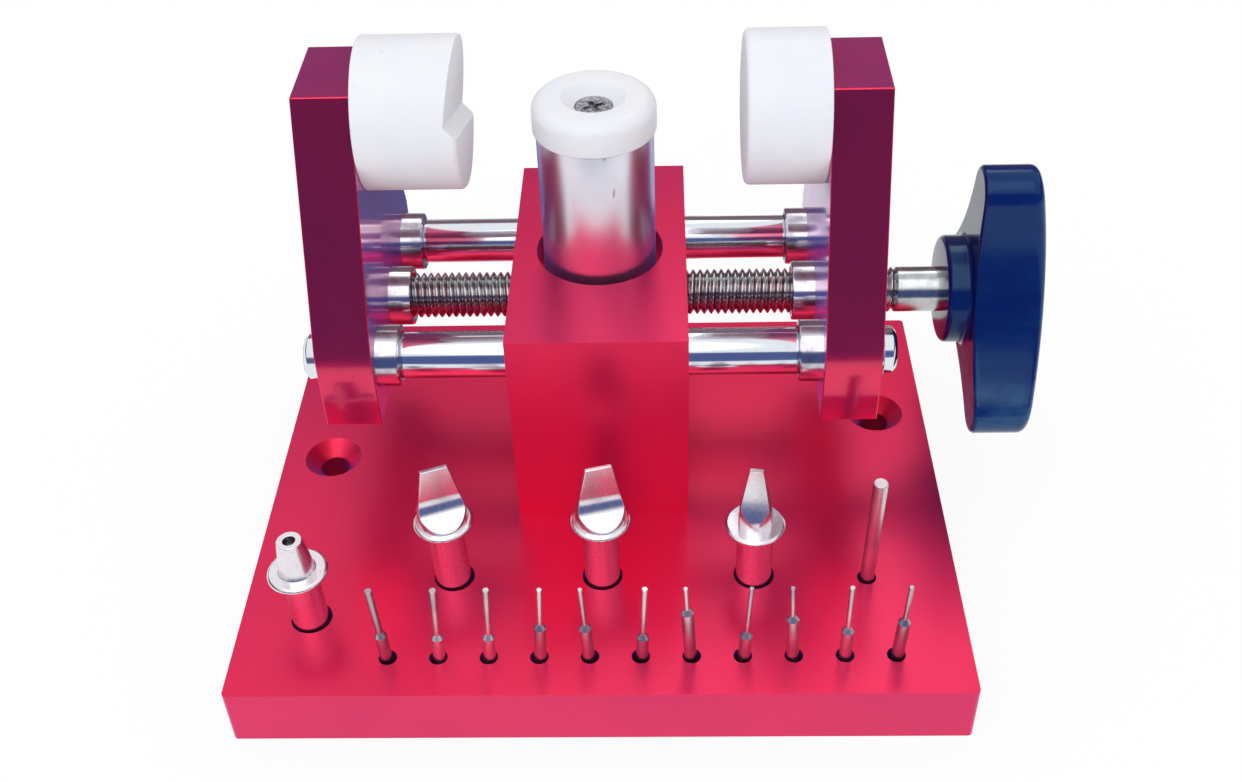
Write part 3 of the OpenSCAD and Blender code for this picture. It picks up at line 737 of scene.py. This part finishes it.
class OPENER_OT_guides(bpy.types.Operator):
    """Two guide rods, four guide bushes and two screw nuts."""

    bl_idname = "opener.guides"
    bl_label = "Rods, bushes and nuts"

    def execute(self, context):
        bar, steel = finish("Ground bar", ground_bar), finish("Turned steel", turned_steel)
        sides = context.scene.opener_sizes.sides

        def rod_stations(size):
            long, r = size["Length"], size["Radius"]
            chamfer, ease, slip = 0.8 * MM, 0.1 * MM, 0.15 * MM
            return [(0.0, 0.0), (r - chamfer, 0.0), (r - ease, chamfer - slip), (r, chamfer),
                    (r, long - chamfer), (r - ease, long - chamfer + slip), (r - chamfer, long), (0.0, long)]

        def bush_stations(size):
            bore, collar, lip = size["Bore"], size["Collar"], size["Lip"]
            long, out = size["Length"], size["Lip length"]
            chamfer, nick = 0.35 * MM, 0.1 * MM
            return [(bore + chamfer, 0.0), (collar - chamfer, 0.0), (collar - nick, nick), (collar, chamfer),
                    (collar, long - nick), (collar - nick, long), (lip, long), (lip, long + out - nick),
                    (lip - nick, long + out), (bore + chamfer, long + out), (bore, long + out - chamfer),
                    (bore, chamfer), (bore + chamfer, 0.0)]

        rod = turned_tree("Guide rod", ("Length", "Radius"), rod_stations, sides)
        bush_sizes = ("Bore", "Collar", "Lip", "Length", "Lip length")
        bush = turned_tree("Bush", bush_sizes, bush_stations, sides)
        front, rear, rod_long = LINE_Y - ROD_SPREAD, LINE_Y + ROD_SPREAD, 100 * MM
        for name, y in (("guide_rod_front", front), ("guide_rod_rear", rear)):
            values = {"Length": rod_long, "Radius": 4 * MM, "Turn": ALONG_X,
                      "Place": [-rod_long / 2, y, SCREW_Z], "Finish": bar}
            mesh = smoothed(grown(name, rod, values), sharp=50)
            show(name + "_ground", mesh, None, "polished_steel", "base", name)
        stand = 3.85 * MM  # how far a collar stands out of its arm
        for side, way in (("left", -1), ("right", 1)):
            for kind, y in (("front_bush", front), ("rear_bush", rear), ("nut", LINE_Y)):
                node = f"{side}_{kind}"
                lip, lip_long, sunk = (5.1, 0.1, 0.1) if kind == "nut" else (4.6, 0.7, 0)
                values = {
                    "Bore": 4.05 * MM, "Collar": 5.25 * MM, "Lip": lip * MM,
                    "Length": stand + ARM_T - sunk * MM, "Lip length": lip_long * MM,
                    "Turn": [0.0, way * math.pi / 2, 0.0],
                    "Place": [way * (ARM_IN - stand), y, SCREW_Z], "Finish": steel,
                }
                mesh = smoothed(grown(node, bush, values))
                show(node + "_turned", mesh, None, "polished_steel", side + "_arm", node)
        return {"FINISHED"}


class OPENER_OT_lead_screw(bpy.types.Operator):
    """The lead screw: a right-hand thread on the left, a left-hand one on the right and a plain shank."""

    bl_idname = "opener.lead_screw"
    bl_label = "Lead screw"

    def execute(self, context):
        steel = finish("Cut thread", cut_thread)
        pitch, sides = context.scene.opener_sizes.pitch, 60
        lie = {"Turn": ALONG_X, "Place": [0.0, LINE_Y, SCREW_Z], "Finish": steel}

        def plain(name, pairs):
            return grown(name, turned_tree(name, (), lambda size: pairs, sides), lie)

        def thread(start, end, hand):
            turns = int((end - start) / pitch) + SPARE_TURNS
            values = {"Start": start, "End": end, "Pitch": pitch, "Radius": SCREW_R,
                      "Depth": THREAD_DEPTH * pitch, "Hand": hand}
            return grown("thread", thread_tree(turns, sides), values | lie)

        tip, cut_from, cut_to = -50 * MM, -49.2 * MM, 52.3 * MM
        journal, groove, shoulder, end = 15 * MM, 1.7 * MM, 71.2 * MM, 72 * MM
        full, core, nose = SCREW_R, 2.8 * MM, 3.2 * MM
        parts = [
            plain("Screw end", ((0.0, tip), (nose, tip), (full, cut_from))),
            thread(cut_from, -journal, 1.0),
            plain("Screw journal", ((full, -journal), (full, -groove), (core, -groove),
                                    (core, groove), (full, groove), (full, journal))),
            thread(journal, cut_to, -1.0),
            plain("Screw shank", ((full, cut_to), (full, shoulder), (nose, end), (0.0, end))),
        ]
        mesh = smoothed(joined("lead_screw_cut", parts), sharp=28)
        show("lead_screw_cut", mesh, steel, "threaded_steel", "screw", "lead_screw")
        return {"FINISHED"}


class OPENER_OT_knob(bpy.types.Operator):
    """The three-lobed knob with its hub."""

    bl_idname = "opener.knob"
    bl_label = "Knob"

    reach = 26.2 * MM

    def outline(self):
        """Points round the knob with their outward directions, from (front, up) about its axis."""
        tip, valley = 4.8 * MM, 11.4 * MM
        tip_steps, hollow_steps = 16, 24
        out = self.reach - tip
        far = (out * out - (valley - tip) ** 2) / (out - 2 * (valley - tip))
        hollow = far - valley
        flank = Vector((far * math.cos(math.pi / 3), far * math.sin(math.pi / 3)))
        centre = Vector((out, 0))
        lean = math.atan2(flank.y, flank.x - out)
        first = math.atan2(-math.sin(lean), -math.cos(lean))
        sweep = (math.tau / 3 - 2 * first + math.pi) % math.tau - math.pi
        points = []
        for lobe in (84, 204, 324):
            spin = Matrix.Rotation(math.radians(lobe), 2)
            for k in range(tip_steps + 1):
                a = lean * (2 * k / tip_steps - 1)
                way = Vector((math.cos(a), math.sin(a)))
                points.append((spin @ (centre + way * tip), spin @ way))
            for k in range(1, hollow_steps):
                a = first + sweep * k / hollow_steps
                way = Vector((math.cos(a), math.sin(a)))
                points.append((spin @ (flank + way * hollow), spin @ -way))
        return points

    def execute(self, context):
        hub_x, body_x, thick, dome = 60 * MM, 64 * MM, 9.3 * MM, 3.185 * MM
        hub_r, inner, bore, sunk = 9.5 * MM, 0.7 * MM, 4.02 * MM, 2 * MM
        mouth, hub_round, fillet = 4.3 * MM, 0.9 * MM, 0.8 * MM
        outer = context.scene.opener_sizes.knob_edge
        ball = (self.reach * self.reach + dome * dome) / (2 * dome)
        middle, quarter = Vector((0, 0)), math.pi / 2
        points = self.outline()

        def at(x, flat):
            return Vector((x, LINE_Y - flat.x, SCREW_Z + flat.y))

        def face_x(flat):
            return body_x + thick + dome - ball + math.sqrt(ball * ball - flat.length_squared)

        def circle(r, x):
            return [at(x, p.normalized() * r) for p, _ in points]

        def inset(by):
            return [p - way * by for p, way in points]

        def ring(xs, flats):
            return [at(x, flat) for x, flat in zip(xs, flats)]

        def level(x):
            return [x] * len(points)

        # The blind bore, the hub and its fillet
        rings = [[at(hub_x + sunk, middle)], circle(bore, hub_x + sunk), circle(bore, hub_x)]
        hub = rounded([(mouth, hub_x, 0), (hub_r, hub_x, hub_round), (hub_r, body_x, fillet),
                       (self.reach, body_x, 0)])
        rings += [circle(r, x) for r, x in hub[:-1]]
        # The back face, out to the knob's outline
        fillet_top = hub[-2].x
        for share in (0.04, 0.3, 0.6, 0.9, 0.97):
            flats = [p.normalized() * fillet_top * (1 - share) + q * share
                     for (p, _), q in zip(points, inset(inner))]
            rings.append(ring(level(body_x), flats))
        # The round of the back edge, the side, and the round of the front edge
        for k in range(7):
            a = quarter * k / 6
            rings.append(ring(level(body_x + inner * (1 - math.cos(a))), inset(inner * (1 - math.sin(a)))))
        back = body_x + inner
        shoulder = [face_x(q) - outer for q in inset(outer)]
        for share in (0.05, 0.35, 0.65, 0.95):
            rings.append(ring([back + (x - back) * share for x in shoulder], inset(0)))
        for k in range(9):
            a = quarter * k / 8
            rings.append(ring([x + outer * math.sin(a) for x in shoulder], inset(outer * (1 - math.cos(a)))))
        # The domed front face, in to its middle
        for share in (0.97, 0.85, 0.7, 0.55, 0.4, 0.25, 0.1):
            rings.append([at(face_x(q * share), q * share) for q in inset(outer)])
        rings.append([at(face_x(middle), middle)])
        mesh = smoothed(rings_mesh("knob_moulded", rings), sharp=35)
        plastic = finish("Moulded plastic", moulded_plastic)
        show("knob_moulded", mesh, plastic, "black_knob", "screw", "knob")
        return {"FINISHED"}


class OPENER_OT_jaws(bpy.types.Operator):
    """The two nylon jaws; the left one has a slanting notch across its face."""

    bl_idname = "opener.jaws"
    bl_label = "Jaws"

    def execute(self, context):
        sizes = context.scene.opener_sizes
        white, r, edge, root_edge = finish("Nylon", nylon), 12.5 * MM, sizes.jaw_edge, 0.25 * MM
        for side, way, long in (("left", -1, 16.4 * MM), ("right", 1, 13.2 * MM)):
            face, root = way * (ARM_IN - long), way * ARM_IN
            outline = rounded([(0, face, 0), (r, face, edge), (r, root, root_edge), (0, root, 0)], steps=7)
            mesh = turned(side + "_jaw_turned", outline, "x", (0, LINE_Y, JAW_Z), sizes.sides)
            if side == "left":
                mesh = self.notched(smoothed(mesh), face)
            show(side + "_jaw_turned", smoothed(mesh), white, "white_nylon", side + "_arm", side + "_jaw")
        return {"FINISHED"}

    def notched(self, mesh, face):
        """Cuts the notch with its leaning wall and sloping ledge, and rounds what the cut leaves."""
        deep, rise, over, far = 1.95 * MM, -0.5 * MM, 1 * MM, 25 * MM
        wall_lean, ledge_turn, edge = 7, -20, 0.7 * MM
        wall = (far - rise) * math.tan(math.radians(wall_lean)) - deep
        drop = rise - (deep + over)
        profile = ((-deep, rise), (over, drop), (far, drop), (far, far), (wall, far))
        turn = Matrix.Rotation(math.radians(ledge_turn), 4, "X")
        turn = Matrix.Translation((face, LINE_Y, JAW_Z)) @ turn
        rings = [[turn @ Vector((x, y, z)) for x, z in profile] for y in (-far, far)]

        def closed(work):
            bmesh.ops.holes_fill(work, edges=work.edges)
            bmesh.ops.recalc_face_normals(work, faces=work.faces)

        cutter = placed("notch_cut", reworked(rings_mesh("notch_cut", rings), closed))

        def build(host):
            cut = host.modifiers.new("Notch", "BOOLEAN")
            cut.operation, cut.solver, cut.object = "DIFFERENCE", "EXACT", cutter
            add_bevel(host, "Notch edges", edge, segments=4, limit=30)

        result = baked(mesh, build)
        bpy.data.objects.remove(cutter)
        return result


class OPENER_OT_post(bpy.types.Operator):
    """The support post, its nylon cap and the cap's screw."""

    bl_idname = "opener.post"
    bl_label = "Support post"

    def execute(self, context):
        sizes = context.scene.opener_sizes
        foot, seam, top, r = 45.55 * MM, 74.1 * MM, 79.8 * MM, 9.75 * MM
        axis = (0, LINE_Y, 0)
        outline = rounded([(0, foot, 0), (r, foot, 0.5 * MM), (r, seam, 0.25 * MM), (0, seam, 0)])
        post = smoothed(turned("support_post_turned", outline, "z", axis, sizes.sides), sharp=35)
        metal = finish("Turned aluminium", turned_aluminium)
        show("support_post_turned", post, metal, "turned_aluminium", "post", "support_post")
        cap_r, dish_r, head_r, bore = 10.25 * MM, 5.35 * MM, 3.2 * MM, 1.8 * MM
        dish_foot, seat = 78 * MM, 76 * MM
        outline = rounded([
            (bore, seam, 0), (cap_r, seam, 0.3 * MM), (cap_r, top, sizes.cap_edge),
            (dish_r, top, 0.5 * MM), (head_r, dish_foot, 0), (head_r, seat, 0), (bore, seat, 0)], steps=8)
        cap = turned("post_cap_turned", outline, "z", axis, sizes.sides, closed=True)
        white, plate = finish("Nylon", nylon), finish("Zinc", zinc)
        show("post_cap_turned", smoothed(cap, sharp=38), white, "white_nylon", "post", "post_cap")
        machined("post_cap_screw_plated", "post_cap_screw", plate, "zinc_screw", width=0.12 * MM)
        return {"FINISHED"}


class OPENER_OT_drivers(bpy.types.Operator):
    """Three blades, the hollow-nosed pin holder and the punch rod, stored in the base."""

    bl_idname = "opener.drivers"
    bl_label = "Drivers"

    def execute(self, context):
        bright, plain, edge = finish("Nickel", nickel), finish("Pin steel", pin_steel), 0.14 * MM
        for node in ("left_wide_blade", "right_wide_blade", "narrow_blade", "pin_holder"):
            machined(node + "_ground", node, bright, "nickel_driver", edge)
        machined("punch_ground", "punch", plain, "pin_steel", edge)
        return {"FINISHED"}


class OPENER_OT_pins(bpy.types.Operator):
    """Eleven spare pins, each with its own shoulder, tip and lean."""

    bl_idname = "opener.pins"
    bl_label = "Stored pins"

    def execute(self, context):
        steel = finish("Pin steel", pin_steel)
        row_y, radius, top, taper = -39.8 * MM, 1 * MM, STORE_DEPTH + 16.1 * MM, 0.9

        def stations(size):
            r, tip, low, top = size["Radius"], size["Tip"], size["Shoulder"], size["Top"]
            nick = 0.1 * MM
            return [(0.0, 0.0), (r - 2 * nick, 0.0), (r, 2 * nick), (r, low), (tip, low + taper * MM),
                    (tip, top - nick), (tip - nick, top), (0.0, top)]

        tree = turned_tree("Stored pin", ("Radius", "Tip", "Shoulder", "Top"), stations, sides=40)
        for i, (x, lean, shoulder, tip) in enumerate(STORED_PINS):
            node = f"pin_{i + 1}"
            turn, place = leaning(x * MM, row_y, lean, radius)
            values = {"Radius": radius, "Tip": tip / 2 * MM, "Top": top, "Finish": steel,
                      "Shoulder": STORE_DEPTH + (shoulder - taper / 2) * MM, "Turn": turn, "Place": place}
            mesh = smoothed(grown(node, tree, values), sharp=18)
            show(node + "_ground", mesh, None, "pin_steel", node, node)
        return {"FINISHED"}


class OPENER_OT_fasteners(bpy.types.Operator):
    """The screws and the insert that keep their CAD shape."""

    bl_idname = "opener.fasteners"
    bl_label = "Screws and insert"

    def execute(self, context):
        black = finish("Black oxide", black_oxide)
        kept = {node: black for node in
                ("block_screws", "rod_lock_screws", "screw_retainer", "left_jaw_screw", "right_jaw_screw")}
        kept["knob_insert"] = finish("Brass", brass)
        for node, material in kept.items():
            mesh = frame["nodes"][node].data
            mesh.materials.clear()
            mesh.materials.append(material)
        return {"FINISHED"}


class OPENER_OT_stage(bpy.types.Operator):
    """Pale floor, soft lamps, white surroundings, dark cards and the camera of the photograph."""

    bl_idname = "opener.stage"
    bl_label = "Studio and camera"

    def execute(self, context):
        self.floor()
        self.surroundings(context.scene)
        self.lamp("Overhead lamp", (-0.1, -0.35, 0.75), target=(0, 0.01, 0.03), size=0.9, power=1.98)
        self.lamp("Back lamp", (0.1, 0.6, 0.7), target=(0, 0, 0.03), size=0.4, power=0.6)
        fill = self.lamp("Front fill", (0, -0.6, 0.1), target=(0, 0.02, 0.07), size=0.16, power=0.22)
        fill.data.color = (0.7, 0.9, 1.0)
        fill.visible_glossy = False
        self.cards()
        self.camera(context.scene)
        return {"FINISHED"}

    def seen(self, net):
        """1 for rays that show a surface to the camera: directly, in a mirror or through glass."""
        rays = net.add("ShaderNodeLightPath", output=None)
        return rays["Is Camera Ray"].most(rays["Is Glossy Ray"]).most(rays["Is Transmission Ray"])

    def floor(self):
        """White paper that keeps the part's shadow; under the base plate it has no glow of its own."""
        half, sunk, reach_x, reach_y, glow_share = 2.5, -0.05 * MM, 59 * MM, 46.5 * MM, 0.9

        def laid(work):
            bmesh.ops.create_grid(work, x_segments=8, y_segments=8, size=half)
            bmesh.ops.translate(work, vec=(0, 0, sunk), verts=work.verts)

        mesh = reworked(bpy.data.meshes.new("floor"), laid)
        paper, net = material_net("Pale paper")
        place = net.add("ShaderNodeTexCoord", output="Object")
        spread = net.add("ShaderNodeSeparateXYZ", {0: place}, None)
        x, y = spread["X"], spread["Y"]
        beside = (x * x > reach_x ** 2).most(y * y > reach_y ** 2)
        matt = net.add("ShaderNodeBsdfDiffuse", {"Color": colour(0.92, 0.92, 0.93)})
        glow = net.add("ShaderNodeEmission", {"Color": colour(1, 1, 1), "Strength": 1.0})
        share = self.seen(net) * beside * glow_share
        mixed = net.add("ShaderNodeMixShader", {0: share, 1: matt, 2: glow})
        net.add("ShaderNodeOutputMaterial", {"Surface": mixed}, None)
        mesh.materials.append(paper)
        floor = placed("floor", mesh)

    def surroundings(self, scene):
        """White where it is seen, a little darker where it lights the part."""
        world = bpy.data.worlds.new("White surroundings")
        world.use_nodes = True
        scene.world = world
        net = Net(world.node_tree)
        strength = 0.85 + self.seen(net) * 0.15
        sky = net.add("ShaderNodeBackground", {"Color": colour(1, 1, 1), "Strength": strength})
        net.add("ShaderNodeOutputWorld", {"Surface": sky}, None)

    def lamp(self, name, place, target, size, power):
        light = bpy.data.lights.new(name, "AREA")
        light.shape, light.size, light.energy = "DISK", size, power
        lamp = placed(name, light)
        lamp.location = place
        lamp.rotation_euler = (Vector(target) - Vector(place)).to_track_quat("-Z", "Y").to_euler()
        return lamp

    def cards(self):
        """The dark cards, glowing sheets which paint the photograph's dark bands into the metal's
        reflections.
        """
        navy, dusk, slate = colour(0.09, 0.12, 0.30), colour(0.22, 0.14, 0.17), colour(0.11, 0.13, 0.21)
        near, mid, back, far, wide = -0.19, -0.5, 0.5, -1.4, 0.6
        low, high, low_back, high_back = 0.3, 0.36, 0.32, 0.60
        self.card("front_card", navy, (-0.12, near, 0), (0.11, near, 0), (-wide, mid, 0), (wide, mid, 0),
                  (-wide, mid, high), (wide, mid, high))
        # A flat card in front paints a dark far floor into the reflections
        self.card("far_table", navy, (-wide, mid, 0), (wide, mid, 0), (-0.9, far, 0), (0.9, far, 0))
        self.card("back_card", dusk, (-wide, back, 0), (wide, back, 0), (-wide, back, low_back),
                  (wide, back, high_back))
        for name, x in (("left_card", -wide), ("right_card", wide)):
            self.card(name, dusk, (x, mid, 0), (x, back, 0), (x, mid, low), (x, back, low))
        # A flat card behind the part paints a darker floor into the reflections
        self.card("back_table", slate, (-0.08, 0.06, 0), (0.02, 0.06, 0), (-0.1, 0.25, 0), (0.03, 0.25, 0))

    def card(self, name, tone, *corners):
        """A studio card that only the metal's reflections see, from pairs of corners along it."""
        mesh = bpy.data.meshes.new(name)
        faces = [(i, i + 1, i + 3, i + 2) for i in range(0, len(corners) - 2, 2)]
        mesh.from_pydata(corners, [], faces)
        cloth, net = material_net(name)
        glow = net.add("ShaderNodeEmission", {"Color": tone, "Strength": 1.0})
        net.add("ShaderNodeOutputMaterial", {"Surface": glow}, None)
        mesh.materials.append(cloth)
        card = placed(name, mesh)
        card.visible_camera = card.visible_diffuse = card.visible_shadow = card.visible_transmission = False

    def camera(self, scene):
        """The photograph's camera, fitted to the plate, block, arms and rods in it."""
        lens = bpy.data.cameras.new("Camera")
        lens.sensor_width, lens.lens = 36, 42.59
        lens.clip_start, lens.clip_end = 0.01, 20
        yaw, pitch, roll = (math.radians(a) for a in (-2.178, 40.487, -2.052))
        ahead = Vector((math.sin(yaw) * math.cos(pitch), math.cos(yaw) * math.cos(pitch), -math.sin(pitch)))
        level = Vector((math.cos(yaw), -math.sin(yaw), 0))
        over = level.cross(ahead)
        right = level * math.cos(roll) + over * math.sin(roll)
        up = over * math.cos(roll) - level * math.sin(roll)
        turn = Matrix((right, up, -ahead)).transposed()
        place = Matrix.Translation((10.82 * MM, -192.17 * MM, 197.45 * MM))
        eye = placed("Camera", lens)
        eye.matrix_world = place @ turn.to_4x4()
        scene.camera = eye
        scene.view_settings.view_transform = "Standard"


PIECES = (
    OPENER_OT_red_parts, OPENER_OT_guides, OPENER_OT_lead_screw, OPENER_OT_knob, OPENER_OT_jaws,
    OPENER_OT_post, OPENER_OT_drivers, OPENER_OT_pins, OPENER_OT_fasteners, OPENER_OT_stage,
)


class OPENER_PT_pieces(bpy.types.Panel):
    """Sizes, finishes and one button for each group of pieces."""

    bl_idname = "OPENER_PT_pieces"
    bl_label = "Watch case opener"
    bl_space_type = "VIEW_3D"
    bl_region_type = "UI"
    bl_category = "Opener"

    def draw(self, context):
        for group in (context.scene.opener_sizes, context.scene.opener_finishes):
            column = self.layout.column()
            for name in group.__annotations__:
                column.prop(group, name)
        for piece in PIECES:
            self.layout.operator(piece.bl_idname)


CLASSES = (OpenerSizes, OpenerFinishes, *PIECES, OPENER_PT_pieces)


def register():
    for kind in CLASSES:
        bpy.utils.register_class(kind)
    bpy.types.Scene.opener_sizes = PointerProperty(type=OpenerSizes)
    bpy.types.Scene.opener_finishes = PointerProperty(type=OpenerFinishes)


def unregister():
    del bpy.types.Scene.opener_finishes
    del bpy.types.Scene.opener_sizes
    for kind in reversed(CLASSES):
        bpy.utils.unregister_class(kind)


def main():
    register()
    for piece in PIECES:
        group, name = piece.bl_idname.split(".")
        getattr(getattr(bpy.ops, group), name)()


if __name__ == "__main__":
    main()
